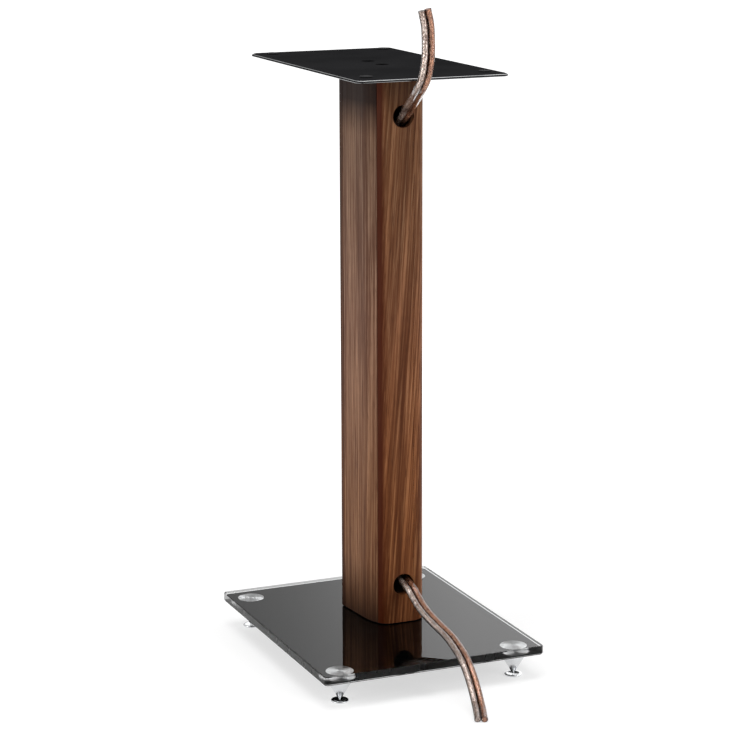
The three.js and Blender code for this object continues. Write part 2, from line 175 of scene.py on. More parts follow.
def veneer_material(name, tones, ends, lean=0.0, dark_band=None):
    """Walnut veneer: broad bands, upright streaks and short dark pores, warmer and darker towards the foot,
    which is painted shade.
    Each of the ends, foot and head, is a stretch of painted shade: (share of dark, where it starts to fade,
    where it is gone).
    A dark band, if given, is the stretch of X, from clear to darkest, where the bent edge of the board is
    darker."""
    wood = Paint(name, Specular_IOR_Level=0.06)
    turn = (0, lean, 0)
    bands = wood.noise((75, 75, 2.6), 3, 0.55, turn, 0.4)
    streaks = wood.noise((340, 340, 6), 4, 0.62, turn)
    lines = wood.noise((560, 560, 8), 3, 0.6, turn)
    pores = wood.noise((1900, 1900, 70), 2, 0.5, turn)
    deep, plain, pale = ((*linear(*tone), 1) for tone in tones)
    tone = wood.mix(wood.levels(bands, 0.36, 0.56), deep, plain)
    tone = wood.mix(wood.levels(streaks, 0.38, 0.56, 0.6, 0), tone, deep)
    tone = wood.mix(wood.levels(streaks, 0.52, 0.72, 0, 0.75), tone, pale)
    tone = wood.mix(wood.levels(lines, 0.38, 0.46, 0.85, 0), tone, deep)
    tone = wood.mix(wood.levels(lines, 0.54, 0.72, 0, 0.5), tone, pale)
    tone = wood.mix(wood.levels(pores, 0.30, 0.42, 0.55, 0), tone, (*linear(52, 28, 18), 1))
    place = wood.node("SeparateXYZ", {"Vector": wood.place((1, 1, 1))})
    foot, head = column_frame()[4:]
    rise = wood.levels(place.outputs["Z"], foot, head)
    # painted shade at the foot, where the tone turns warmer and darker; near the head it turns a little
    # cooler
    tint_and_foot_shade = wood.ramp(rise, (0.19, (1.0, 0.88, 0.68)), (0.56, (1.0, 1.0, 1.0)), (0.86, (0.95, 1.06, 1.08)))
    tone = wood.mix(1.0, tone, tint_and_foot_shade, "MULTIPLY")
    # painted shade at the foot, and at the head below the top plate
    for end, way, (share, solid, clear) in zip((foot, head), (1, -1), ends):
        dark = wood.levels(place.outputs["Z"], end + way * solid, end + way * clear, share, 0)
        tone = wood.mix(dark, tone, (*linear(26, 13, 9), 1))
    # a darker band over the bent edge of the board
    if dark_band:
        dark = wood.levels(place.outputs["X"], *dark_band, 0, 0.95)
        tone = wood.mix(dark, tone, (*linear(64, 22, 4), 1))
    wood.paint("Base Color", tone)
    wood.paint("Roughness", wood.levels(streaks, 0.3, 0.7, 0.55, 0.42))
    wood.bump(wood.combine(pores, lines), 0.05 * MM, 0.4)
    return wood.material


def timber_material():
    wood = Paint("plain_timber", Roughness=0.75)
    rings = wood.noise((300, 300, 12), 4, 0.6)
    tone = wood.ramp(rings, (0.3, linear(170, 138, 98)), (0.6, linear(196, 166, 124)))
    wood.paint("Base Color", tone)
    wood.bump(rings, 0.2 * MM, 0.3)
    return wood.material


def glass_material():
    glass = Paint("clear_glass", IOR=1.3, Transmission_Weight=1.0, Roughness=0.0)
    faint = glass.noise((9, 9, 9), 2)
    glass.paint("Base Color", glass.ramp(faint, (0.3, (0.90, 0.92, 0.915)), (0.7, (0.92, 0.935, 0.93))))
    return glass.material


def edge_material():
    """The ground edge of the glass, which scatters what is behind it."""
    edge = Paint("ground_edge", IOR=1.3, Transmission_Weight=1.0)
    faint = edge.noise((60, 60, 9), 2)
    edge.paint("Base Color", edge.ramp(faint, (0.3, grey(0.45)), (0.7, grey(0.55))))
    edge.paint("Roughness", edge.levels(faint, 0.3, 0.7, 0.25, 0.35))
    return edge.material


def film_material():
    film = Paint("black_film", Specular_IOR_Level=0.0)
    cloud = film.noise((40, 40, 40), 3)
    film.paint("Base Color", film.ramp(cloud, (0.4, grey(0.001)), (0.8, grey(0.002))))
    film.paint("Roughness", film.levels(cloud, 0.3, 0.7, 0.6, 0.7))
    return film.material


def polished_material():
    metal = Paint("polished_metal", Metallic=1.0)
    smear = metal.noise((60, 60, 60), 3)
    rings = metal.noise((5, 5, 2600), 1)
    metal.paint("Base Color", metal.ramp(smear, (0.3, linear(220, 221, 223)), (0.7, linear(234, 235, 236))))
    metal.paint("Roughness", metal.levels(smear, 0.3, 0.7, 0.20, 0.28))
    metal.bump(rings, 0.01 * MM, 0.1)
    return metal.material


def brushed_material():
    """Turned metal: fine rings about the piece's own middle, which stretch each highlight across them."""
    metal = Paint("brushed_metal", Metallic=1.0, Anisotropic=1.0)
    where = metal.node("TexCoord").outputs["Generated"]
    offset = metal.node("VectorMath", {0: where, 1: (0.5, 0.5, 0.5)}, operation="SUBTRACT")
    flat = metal.node("VectorMath", {0: offset.outputs["Vector"], 1: (1, 1, 0)}, operation="MULTIPLY")
    radius = metal.node("VectorMath", {0: flat.outputs["Vector"]}, operation="LENGTH").outputs["Value"]
    inputs = {"W": radius, "Scale": 160, "Detail": 3}
    grooves = metal.node("TexNoise", inputs, noise_dimensions="1D").outputs["Fac"]
    metal.paint("Base Color", metal.ramp(grooves, (0.3, linear(196, 197, 198)), (0.7, linear(238, 238, 239))))
    metal.paint("Roughness", metal.levels(grooves, 0.3, 0.7, 0.50, 0.58))
    metal.paint("Tangent", metal.node("Tangent", direction_type="RADIAL", axis="Z").outputs["Tangent"])
    metal.bump(grooves, 0.02 * MM, 0.5)
    return metal.material


def plate_material():
    """Satin near-black coat, worn a little lighter in fine specks."""
    plate = Paint("dark_plate", Specular_IOR_Level=0.0)
    fine = plate.noise((1500, 1500, 1500), 3)
    cloud = plate.noise((14, 14, 14), 2)
    tone = plate.ramp(cloud, (0.3, linear(28, 28, 29)), (0.7, linear(34, 34, 35)))
    tone = plate.mix(plate.levels(fine, 0.55, 0.75, 0, 0.3), tone, (*linear(48, 48, 49), 1))
    plate.paint("Base Color", tone)
    plate.paint("Roughness", plate.levels(fine, 0.3, 0.7, 0.42, 0.55))
    plate.bump(fine, 0.02 * MM, 0.3)
    return plate.material


def bevel_material():
    """The machined rim of the top plate, bright where its coat was cut away."""
    metal = Paint("cut_metal", Metallic=1.0)
    lines = metal.noise((40, 40, 5200), 2)
    metal.paint("Base Color", metal.ramp(lines, (0.35, linear(120, 121, 122)), (0.7, linear(190, 191, 192))))
    metal.paint("Roughness", metal.levels(lines, 0.3, 0.7, 0.22, 0.34))
    metal.bump(lines, 0.02 * MM, 0.4)
    return metal.material


def screw_material():
    metal = Paint("dark_screw", Specular_IOR_Level=0.0)
    fine = metal.noise((1200, 1200, 1200), 2)
    metal.paint("Base Color", metal.ramp(fine, (0.3, grey(0.002)), (0.7, grey(0.004))))
    metal.paint("Roughness", metal.levels(fine, 0.3, 0.7, 0.45, 0.6))
    return metal.material


def plated_material():
    metal = Paint("plain_steel", Metallic=1.0)
    fine = metal.noise((700, 700, 700), 3)
    metal.paint("Base Color", metal.ramp(fine, (0.3, linear(158, 160, 162)), (0.7, linear(188, 190, 192))))
    metal.paint("Roughness", metal.levels(fine, 0.3, 0.7, 0.28, 0.4))
    metal.bump(fine, 0.02 * MM, 0.3)
    return metal.material


def brass_material():
    metal = Paint("brass", Metallic=1.0)
    fine = metal.noise((600, 600, 2200), 3)
    metal.paint("Base Color", metal.ramp(fine, (0.3, linear(176, 140, 74)), (0.7, linear(204, 170, 98))))
    metal.paint("Roughness", metal.levels(fine, 0.3, 0.7, 0.28, 0.42))
    return metal.material


def nylon_material():
    nylon = Paint("white_nylon", Roughness=0.5)
    fine = nylon.noise((400, 400, 400), 3)
    nylon.paint("Base Color", nylon.ramp(fine, (0.3, linear(214, 210, 200)), (0.7, linear(228, 225, 216))))
    nylon.bump(fine, 0.03 * MM, 0.2)
    return nylon.material


def rubber_material():
    rubber = Paint("black_rubber", Specular_IOR_Level=0.1)
    fine = rubber.noise((1800, 1800, 1800), 3)
    rubber.paint("Base Color", rubber.ramp(fine, (0.35, linear(16, 16, 17)), (0.7, linear(30, 30, 31))))
    rubber.paint("Roughness", rubber.levels(fine, 0.3, 0.7, 0.7, 0.88))
    rubber.bump(fine, 0.05 * MM, 0.5)
    return rubber.material


def jacket_material():
    clear = Paint("clear_cable", IOR=1.48, Transmission_Weight=1.0)
    haze = clear.noise((260, 260, 260), 2)
    clear.paint("Base Color", clear.ramp(haze, (0.3, linear(246, 238, 234)), (0.7, linear(252, 248, 246))))
    clear.paint("Roughness", clear.levels(haze, 0.3, 0.7, 0.02, 0.06))
    clear.bump(haze, 0.05 * MM, 0.2)
    return clear.material


def strand_material(name, dark, middle, bright):
    """Fine drawn wires: each one catches the light for a short way, so the bundle glitters."""
    metal = Paint(name, Metallic=1.0)
    wires = metal.noise((1300, 1300, 600), 2)
    patches = metal.noise((190, 190, 150), 3)
    tone = metal.ramp(wires, (0.40, dark), (0.50, middle), (0.62, bright))
    tone = metal.mix(metal.levels(patches, 0.40, 0.60, 0.45, 0), tone, (*dark, 1))
    metal.paint("Base Color", tone)
    metal.paint("Roughness", metal.levels(wires, 0.3, 0.7, 0.5, 0.28))
    metal.bump(wires, 0.1 * MM, 0.6)
    return metal.material


def shade_web_material():
    """A dark sheet in the middle of the cable, between and beside its two cores: painted shade for the dark
    surroundings seen through the clear jacket.
    """
    shade_web = Paint("cable_shade_web", Specular_IOR_Level=0.1, Roughness=0.6)
    fine = shade_web.noise((500, 500, 500), 2)
    shade_web.paint("Base Color", shade_web.ramp(fine, (0.3, linear(22, 12, 12)), (0.7, linear(38, 22, 20))))
    return shade_web.material


# Shapes


def add_piece(name, points, faces, material, body="stand", smooth=SMOOTH):
    mesh = bpy.data.meshes.new(name)
    mesh.from_pydata([tuple(point) for point in points], [], faces)
    mesh.update()
    made = bpy.data.objects.new(name, mesh)
    bpy.context.scene.collection.objects.link(made)
    face_outwards(made)
    shade(made, smooth)
    if material:
        made.data.materials.append(material)
    if body:
        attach(made, body)
    return made


def face_outwards(made):
    solid = bmesh.new()
    solid.from_mesh(made.data)
    bmesh.ops.recalc_face_normals(solid, faces=solid.faces)
    solid.to_mesh(made.data)
    solid.free()


def shade(made, angle):
    made.data.shade_smooth()
    made.data.set_sharp_from_angle(angle=angle)


def lofted(rings):
    """Points and faces of a closed solid through rings of as many points each, with flat ends."""
    count = len(rings[0])
    points = [point for ring in rings for point in ring]
    faces = [tuple(reversed(range(count)))]
    for level in range(len(rings) - 1):
        low = level * count
        high = low + count
        for side in range(count):
            after = (side + 1) % count
            faces.append((low + side, low + after, high + after, high + side))
    faces.append(tuple(range(len(points) - count, len(points))))
    return points, faces


def eased(profile, radius, steps=3):
    """A line of 2D points with each inner corner rounded by up to the given radius."""
    points = [Vector(point) for point in profile]
    out = [points[0]]
    for before, corner, after in zip(points, points[1:], points[2:]):
        back = before - corner
        onward = after - corner
        start = corner + back.normalized() * min(radius, back.length * 0.45)
        end = corner + onward.normalized() * min(radius, onward.length * 0.45)
        for step in range(steps + 1):
            share = step / steps
            out.append(start.lerp(corner, share).lerp(corner.lerp(end, share), share))
    out.append(points[-1])
    return out


def turned(profile, x, y, sides=96):
    """Points and faces of a solid about the upright line at x, y, from (radius, z) points on its outside."""
    points = []
    faces = []
    rows = []
    for radius, z in profile:
        if radius < ON_AXIS:
            rows.append([len(points)] * sides)
            points.append((x, y, z))
            continue
        rows.append(list(range(len(points), len(points) + sides)))
        for side in range(sides):
            angle = 2 * pi * side / sides
            points.append((x + radius * cos(angle), y + radius * sin(angle), z))
    for low, high in zip(rows, rows[1:]):
        for side in range(sides):
            after = (side + 1) % sides
            corners = (low[side], low[after], high[after], high[side])
            face = tuple(dict.fromkeys(corners))
            if len(face) > 2:
                faces.append(face)
    return points, faces


def rounded_rectangle(x, y, half_x, half_y, radius, steps=16):
    """Points round a rectangle with rounded corners, as (x, y)."""
    corners = ((1, 1, 0), (-1, 1, 90), (-1, -1, 180), (1, -1, 270))
    points = []
    for across, along, start in corners:
        for step in range(steps + 1):
            angle = radians(start + 90 * step / steps)
            px = x + across * (half_x - radius) + radius * cos(angle)
            py = y + along * (half_y - radius) + radius * sin(angle)
            points.append((px, py))
    return points


def slab(low, high, corner, rim):
    """A rounded rectangular slab over a box; rim is its edge, as (inset, z) upwards."""
    x, y = (low.x + high.x) / 2, (low.y + high.y) / 2
    half_x, half_y = (high.x - low.x) / 2, (high.y - low.y) / 2
    rings = []
    for inset, z in rim:
        radius = max(corner - inset, 0.1 * MM)
        outline = rounded_rectangle(x, y, half_x - inset, half_y - inset, radius)
        rings.append([(px, py, z) for px, py in outline])
    return lofted(rings)


def flatten(made):
    """Keeps what the modifiers make of a piece as its mesh."""
    graph = bpy.context.evaluated_depsgraph_get()
    mesh = bpy.data.meshes.new_from_object(made.evaluated_get(graph))
    made.modifiers.clear()
    made.data = mesh


def cut_away(made, tools, smooth=SMOOTH):
    for tool in tools:
        modifier = made.modifiers.new("cut", "BOOLEAN")
        modifier.object = tool
        modifier.solver = "EXACT"
    flatten(made)
    for tool in tools:
        bpy.data.objects.remove(tool)
    shade(made, smooth)


def ease_edges(made, width):
    """Rounds the sharp edges of a piece over the given width."""
    solid = bmesh.new()
    solid.from_mesh(made.data)
    sharp = [e for e in solid.edges if e.is_manifold and e.calc_face_angle() > radians(40)]
    bmesh.ops.bevel(solid, geom=sharp, offset=width, segments=2, affect="EDGES", profile=0.5)
    solid.to_mesh(made.data)
    solid.free()
    shade(made, radians(35))
    modifier = made.modifiers.new("normals", "WEIGHTED_NORMAL")
    modifier.keep_sharp = True


def centre(node):
    low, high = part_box(node)
    return (low + high) / 2


# Speaker cable

CABLE_WIDTH = 13.2 * MM
CABLE_THICKNESS = 6 * MM
WAIST_THICKNESS = 1 * MM
CORE_RADIUS = 2.4 * MM
CORE_LOBES = 9
CORE_RIDGE = 0.12 * MM
CORE_LAY = 34 * MM  # one turn of the wires round their core
RING_STEP = 1.6 * MM
END_INSET = 0.08 * MM  # of the cores, from the cut end of the jacket
SHADE_WEB_INSET = 0.25 * MM  # from the outside of the jacket
SHADE_WEB_THICKNESS = 0.24 * MM

UPPER_ROUTE = [
    Vector(point) * MM
    for point in (
        (-18.4, 34.1, 553.3),
        (-18.2, 38, 556),
        (-16.9, 44, 559.4),
        (-14.3, 52, 561.9),
        (-11, 62, 564.4),
        (-3, 88, 572.8),
        (5.6, 115, 581.3),
        (10.6, 132, 587.4),
        (11.9, 139.5, 592),
        (10.5, 144, 599.8),
        (9.5, 146, 607.6),
        (8.1, 146.5, 619.1),
        (7.9, 146.5, 634.2),
        (9, 147, 649.4),
        (12.4, 148, 663.2),
    )
]
LOWER_ROUTE = [
    Vector(point) * MM
    for point in (
        (-19.4, 34.1, 77.3),
        (-19.4, 38.4, 76.4),
        (-19.6, 45, 74),
        (-20.1, 53, 69.5),
        (-20, 68, 63.2),
        (-20.4, 87, 58),
        (-22.6, 106, 53),
        (-24.6, 126, 48.4),
        (-24.1, 145, 44),
        (-22.2, 164, 39.7),
        (-20.9, 177, 33.9),
        (-20.2, 187, 26.9),
        (-19.2, 196, 19.7),
        (-17.7, 205, 12.8),
        (-14.6, 217, 7),
        (-10.8, 228, 4.2),
        (-7.1, 237.5, 3.3),
    )
]
INSIDE_ROUTE = [
    Vector(point) * MM
    for point in (
        (-19.4, 33.8, 77.4),
        (-19.4, 29, 78.4),
        (-19.4, 24, 79.5),
        (-19.3, 16, 82.8),
        (-19.1, 9, 89),
        (-19, 3, 102),
        (-19, 0, 127),
        (-19, 0, 200),
        (-19, 0, 300),
        (-19, 0, 400),
        (-19, 0, 475),
        (-19, 1.5, 500),
        (-19, 6, 519),
        (-18.9, 12, 532),
        (-18.8, 18, 540.6),
        (-18.7, 24, 546.2),
        (-18.6, 29, 549.7),
        (-18.4, 33.8, 553.1),
    )
]


def smooth_route(points, spacing):
    """The curve through the points, which slows at close ones, in even steps of about the spacing."""
    ends = [2 * points[0] - points[1], *points, 2 * points[-1] - points[-2]]
    fine = []
    for before, start, end, after in zip(ends, ends[1:], ends[2:], ends[3:]):
        d0, d1, d2 = (sqrt((b - a).length) for a, b in ((before, start), (start, end), (end, after)))
        leave = ((start - before) / d0 - (end - before) / (d0 + d1) + (end - start) / d1) * d1
        reach = ((end - start) / d1 - (after - start) / (d1 + d2) + (after - end) / d2) * d1
        count = max(4, ceil((end - start).length / (spacing / 4)))
        for step in range(count):
            t = step / count
            fine.append(
                start * (2 * t**3 - 3 * t**2 + 1)
                + leave * (t**3 - 2 * t**2 + t)
                + end * (3 * t**2 - 2 * t**3)
                + reach * (t**3 - t**2)
            )
    fine.append(points[-1])
    travelled = [0.0]
    for a, b in zip(fine, fine[1:]):
        travelled.append(travelled[-1] + (b - a).length)
    steps = round(travelled[-1] / spacing)
    out = []
    place = 0
    for step in range(steps + 1):
        wanted = travelled[-1] * step / steps
        while place < len(fine) - 2 and travelled[place + 1] < wanted:
            place += 1
        share = (wanted - travelled[place]) / (travelled[place + 1] - travelled[place])
        out.append(fine[place].lerp(fine[place + 1], share))
    return out


def swept(path, section):
    """Rings of a section along a path; section(distance) gives (across, through) points.
    The section is kept level: its first side is across X all the way along."""
    rings = []
    travelled = 0.0
    for index, point in enumerate(path):
        ahead = path[min(index + 1, len(path) - 1)]
        behind = path[max(index - 1, 0)]
        along = (ahead - behind).normalized()
        across = (Vector((1, 0, 0)) - along * along.x).normalized()
        through = along.cross(across)
        if index:
            travelled += (point - path[index - 1]).length
        rings.append([point + across * a + through * b for a, b in section(travelled)])
    return lofted(rings)


def jacket_section(_):
    middle = CABLE_WIDTH / 4
    half = CABLE_THICKNESS / 2
    waist = asin(WAIST_THICKNESS / 2 / half)
    steps = 20
    points = []
    for side in (1, -1):
        for step in range(steps + 1):
            angle = (pi - waist) * (2 * step / steps - 1)
            points.append((side * middle * (1 + cos(angle)), side * half * sin(angle)))
    return points


def core_section(side):
    middle = side * CABLE_WIDTH / 4
    steps = 54

    def section(travelled):
        twist = 2 * pi * travelled / CORE_LAY
        points = []
        for step in range(steps):
            angle = 2 * pi * step / steps
            radius = CORE_RADIUS - CORE_RIDGE * (1 - abs(cos((angle - twist) * CORE_LOBES / 2)))
            points.append((middle + radius * cos(angle), radius * sin(angle)))
        return points

    return section


def shade_web_section(_):
    half_width = CABLE_WIDTH / 2 - SHADE_WEB_INSET
    half = SHADE_WEB_THICKNESS / 2
    return [(-half_width, -half), (half_width, -half), (half_width, half), (-half_width, half)]


def trimmed(path):
    """The path with each end drawn in a little."""
    first = path[0] + (path[1] - path[0]).normalized() * END_INSET
    last = path[-1] + (path[-2] - path[-1]).normalized() * END_INSET
    return [first, *path[1:-1], last]


def add_cable(name, route, jacket, tinned, copper, shade_web):
    """A stretch of cable: a clear jacket of two round sides, a core of wires in each and a dark middle sheet
    of painted shade.
    """
    path = smooth_route(route, RING_STEP)
    inner = trimmed(path)
    cover = add_piece(f"{name}_jacket", *swept(path, jacket_section), jacket, smooth=radians(50))
    cores = [
        add_piece(f"{name}_tinned_core", *swept(inner, core_section(1)), tinned, smooth=radians(50)),
        add_piece(f"{name}_copper_core", *swept(inner, core_section(-1)), copper, smooth=radians(50)),
        # dark sheet of painted shade, seen through the jacket between and beside the cores
        add_piece(f"{name}_web", *swept(inner, shade_web_section), shade_web),
    ]
    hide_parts(name)
    return cover, cores, path


def add_cables():
    jacket = jacket_material()
    tinned = strand_material(
        "tinned_strand", linear(96, 76, 70), linear(180, 160, 146), linear(244, 236, 230)
    )
    copper = strand_material("copper_strand", linear(92, 56, 42), linear(176, 118, 88), linear(226, 184, 154))
    shade_web = shade_web_material()
    for name, route in (("cable_upper", UPPER_ROUTE), ("cable_lower", LOWER_ROUTE)):
        cover, cores, path = add_cable(name, route, jacket, tinned, copper, shade_web)
    add_cable("cable_inside", INSIDE_ROUTE, jacket, tinned, copper, shade_web)


# Feet


def add_feet():
    polished = polished_material()
    brushed = brushed_material()
    for foot in FEET:
        add_shoe(foot, polished)
        add_spike(foot, polished)
        add_foot_plate(foot, brushed)


def add_shoe(foot, material):
    node = f"shoe_{foot}"
    low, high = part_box(node)
    middle = centre(node)
    radius = (high.y - low.y) / 2
    lower_edge = 0.4 * MM
    upper_edge = 0.5 * MM
    dish_radius = 6.4 * MM
    dish_depth = 1 * MM
    dish_edge = 0.3 * MM
    profile = [(0, low.z), (radius - lower_edge, low.z), (radius, low.z + lower_edge)]
    profile += [(radius, high.z - upper_edge), (radius - upper_edge, high.z)]
    profile.append((dish_radius + dish_edge, high.z))
    steps = 12
    for step in range(steps, -1, -1):
        reach = step / steps
        profile.append((dish_radius * reach, high.z - dish_depth * (1 - reach**2)))
    solid = turned(eased(profile, 0.2 * MM), middle.x, middle.y)
    made = add_piece(f"{node}_turned", *solid, material, node)
    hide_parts(node)


def add_spike(foot, material):
    node = f"spike_{foot}"
    low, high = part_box(node)
    middle = centre(node)
    radius = (high.y - low.y) / 2
    bore = 3.3 * MM  # radius
    bore_floor = low.z + 6.4 * MM
    tip = 0.7 * MM  # radius
    edge = 0.35 * MM  # height of the tip's end and of the straight rim
    profile = [(0, low.z), (tip, low.z + edge), (radius, high.z - edge)]
    profile += [(radius, high.z), (bore, high.z), (bore, bore_floor), (0, bore_floor)]
    solid = turned(eased(profile, 0.3 * MM), middle.x, middle.y)
    made = add_piece(f"{node}_turned", *solid, material, node)
    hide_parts(node)


def add_foot_plate(foot, material):
    """The disc that shows through the glass, with its stud; it is laid against the glass."""
    node = f"foot_plate_{foot}"
    low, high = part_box(node)
    middle = centre(node)
    radius = (high.y - low.y) / 2
    top = glass_floor() + CONTACT
    thickness = 2.6 * MM
    under = high.z - thickness
    disc_edge = 0.3 * MM
    stud = 3 * MM  # radius
    stud_edge = 0.4 * MM
    profile = [(0, low.z), (stud - stud_edge, low.z), (stud, low.z + stud_edge), (stud, under)]
    profile += [(radius - disc_edge, under), (radius, under + disc_edge), (radius, top), (0, top)]
    solid = turned(eased(profile, 0.15 * MM), middle.x, middle.y)
    made = add_piece(f"{node}_turned", *solid, material)
    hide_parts(node)


# Glass base

CONTACT = 0.05 * MM  # what is bonded under the glass reaches this far into it
GLASS_CORNER = 4.5 * MM
GLASS_ARRIS = 0.6 * MM
FILM_INSET = 1 * MM
BUSH_HOLE = 6 * MM  # radius
WINDOW_GAP = 0.15 * MM  # between a bonded disc and the film round it


def rim_distance(face, low, high):
    """How far the middle of a face lies, in plan, from the nearest side of a box."""
    x, y, _ = face.center
    return min(x - low.x, high.x - x, y - low.y, high.y - y)


def glass_floor():
    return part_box("base_glass")[0].z


def add_base():
    low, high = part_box("base_glass")
    arris = GLASS_ARRIS
    rim = [(arris, low.z), (0, low.z + arris), (0, high.z - arris), (arris, high.z)]
    glass = add_piece("base_glass_slab", *slab(low, high, GLASS_CORNER, rim), glass_material())
    cut_away(glass, [bush_hole(end, BUSH_HOLE) for end in ENDS])
    glass.data.materials.append(edge_material())
    for face in glass.data.polygons:
        if rim_distance(face, low, high) < GLASS_CORNER and abs(face.normal.z) < 0.5:
            face.material_index = 1
    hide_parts("base_glass")

    low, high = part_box("base_backing")
    top = glass_floor() + CONTACT
    corner = GLASS_CORNER - FILM_INSET
    film = add_piece("base_film", *slab(low, high, corner, [(0, low.z), (0, top)]), film_material())
    windows = [foot_window(foot) for foot in FEET]
    cut_away(film, windows + [bush_hole(end, BUSH_HOLE) for end in ENDS])
    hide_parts("base_backing")


def rod_tool(radius, x, y, low, high, sides=64):
    profile = [(0, low), (radius, low), (radius, high), (0, high)]
    return add_piece("tool", *turned(profile, x, y, sides), None, None)


def bush_hole(end, radius):
    middle = centre(f"base_bush_{end}")
    return rod_tool(radius, middle.x, middle.y, middle.z - TOOL_REACH, middle.z + TOOL_REACH)


def foot_window(foot):
    low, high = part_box(f"foot_plate_{foot}")
    middle = (low + high) / 2
    radius = (high.y - low.y) / 2 + WINDOW_GAP
    return rod_tool(radius, middle.x, middle.y, 0, high.z + TOOL_REACH)


# Column

BOARD = 8 * MM
BOW_RADIUS = 58 * MM
BOW_TURN = radians(27.5)
SIDE_SPLAY = radians(5.5)  # of the straight sides, outwards to the front
REAR_CORNER = 14.3 * MM
FRONT_CORNER = 2 * MM
SEAM = 0.3 * MM
HOLE_RADIUS = 11 * MM
HOLE_OFFSET = -0.6 * MM  # in X, from the middle of the column
HOLE_RISE = 3.9 * MM  # from the lower block to the edge of the lower hole
HOLE_DROP = 9.6 * MM  # from the upper block to the edge of the upper hole
BLOCK_HEIGHT = 25 * MM
EASING = 0.45 * MM
BAND_CLEAR = 5.6 * MM  # in X, from the middle of the rear board's bend
BAND_DARK = 9.6 * MM


def column_frame():
    """The column's middle in X, half its front's width, front and rear in Y, foot and head in Z."""
    low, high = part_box("column_front_panel")
    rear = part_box("column_rear_panel")[1].y
    return (low.x + high.x) / 2, (high.x - low.x) / 2, low.y, rear, low.z, high.z


def arc(x, y, radius, start, end, steps):
    angles = [start + (end - start) * k / steps for k in range(steps + 1)]
    return [(x + radius * cos(angle), y + radius * sin(angle)) for angle in angles]


def upright(name, outline, foot, head, material):
    """A board of the given section, standing from foot to head."""
    return add_piece(name, *lofted([[(x, y, z) for x, y in outline] for z in (foot, head)]), material)


def add_column():
    middle, half, front, rear, foot, head = column_frame()
    bow_y = rear - REAR_CORNER - (BOW_RADIUS - REAR_CORNER) * sin(BOW_TURN)
    widest = front + FRONT_CORNER * (1 + sin(SIDE_SPLAY))
    bow_x = half - BOW_RADIUS / cos(SIDE_SPLAY) - (bow_y - widest) * tan(SIDE_SPLAY)
    corner_x = bow_x + (BOW_RADIUS - REAR_CORNER) * cos(BOW_TURN)
    corner_y = rear - REAR_CORNER

    def side_x(y, inset=0.0):
        return bow_x + (BOW_RADIUS - inset) / cos(SIDE_SPLAY) + (bow_y - y) * tan(SIDE_SPLAY)

    front_y = front + FRONT_CORNER
    front_x = side_x(front_y, FRONT_CORNER)
    board = [(side_x(front + BOARD), front + BOARD), (-side_x(front + BOARD), front + BOARD)]
    board += arc(-front_x, front_y, FRONT_CORNER, pi - SIDE_SPLAY, 1.5 * pi, 8)
    board += arc(front_x, front_y, FRONT_CORNER, 1.5 * pi, 2 * pi + SIDE_SPLAY, 8)
    # the side boards' tones are the rear's walnut made lighter and greyer: painted sheen
    side_sheen_tones = ((86, 55, 41), (129, 95, 75), (155, 120, 98))
    rear_tones = ((82, 45, 26), (133, 86, 58), (167, 120, 88))
    front_tones = ((62, 36, 24), (96, 63, 47), (118, 80, 60))
    # painted shade at the foot and head of the column
    side_end_shade = ((0.83, 0, 60 * MM), (0.95, 32 * MM, 66 * MM))
    rear_end_shade = ((0, 0, 60 * MM), (0.5, 14 * MM, 42 * MM))
    front_veneer = veneer_material("veneer_front", front_tones, side_end_shade)
    add_board("column_front_panel", board, middle, foot, head, front_veneer)

    end = BOW_TURN - SEAM / BOW_RADIUS
    start = front + BOARD + SEAM
    side = [(side_x(start, BOARD), start), (side_x(start), start)]
    side += arc(bow_x, bow_y, BOW_RADIUS, SIDE_SPLAY, end, 20)
    side += arc(bow_x, bow_y, BOW_RADIUS - BOARD, end, SIDE_SPLAY, 12)
    # walnut with painted sheen in its tones, for both side boards
    veneer = veneer_material("veneer_side_sheen", side_sheen_tones, side_end_shade, lean=radians(0.6))
    add_board("column_right_panel", side, middle, foot, head, veneer)
    add_board("column_left_panel", [(-x, y) for x, y in reversed(side)], middle, foot, head, veneer)

    inner = REAR_CORNER - BOARD
    back = arc(corner_x, corner_y, REAR_CORNER, BOW_TURN, pi / 2, 24)
    back += arc(-corner_x, corner_y, REAR_CORNER, pi / 2, pi - BOW_TURN, 24)
    back += arc(-corner_x, corner_y, inner, pi - BOW_TURN, pi / 2, 5)
    back += arc(corner_x, corner_y, inner, pi / 2, BOW_TURN, 5)
    holes = [cable_hole(node) for node in ("cable_lower", "cable_upper")]
    # the rear board is darker over the bend at its +X edge
    bent = middle + corner_x
    dark_band = (bent + BAND_CLEAR, bent + BAND_DARK)
    banded_veneer = veneer_material("veneer_rear", rear_tones, rear_end_shade, radians(4), dark_band)
    add_board("column_rear_panel", back, middle, foot, head, banded_veneer, holes)


def add_board(node, outline, middle, foot, head, material, holes=()):
    made = upright(f"{node}_veneered", [(middle + x, y) for x, y in outline], foot, head, material)
    if holes:
        cut_away(made, holes)
    ease_edges(made, EASING)
    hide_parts(node)


def cable_hole(cable):
    """A rod through the rear board, where a cable leaves it."""
    middle, _, _, rear, foot, head = column_frame()
    x = middle + HOLE_OFFSET
    rise = HOLE_RISE + HOLE_RADIUS
    drop = HOLE_DROP + HOLE_RADIUS
    z = foot + BLOCK_HEIGHT + rise if cable == "cable_lower" else head - BLOCK_HEIGHT - drop
    sides = 72
    rings = []
    for y in (rear - TOOL_REACH, rear + TOOL_REACH):
        rings.append(
            [
                (x + HOLE_RADIUS * cos(2 * pi * k / sides), y, z + HOLE_RADIUS * sin(2 * pi * k / sides))
                for k in range(sides)
            ]
        )
    return add_piece("tool", *lofted(rings), None, None)


# Top plate

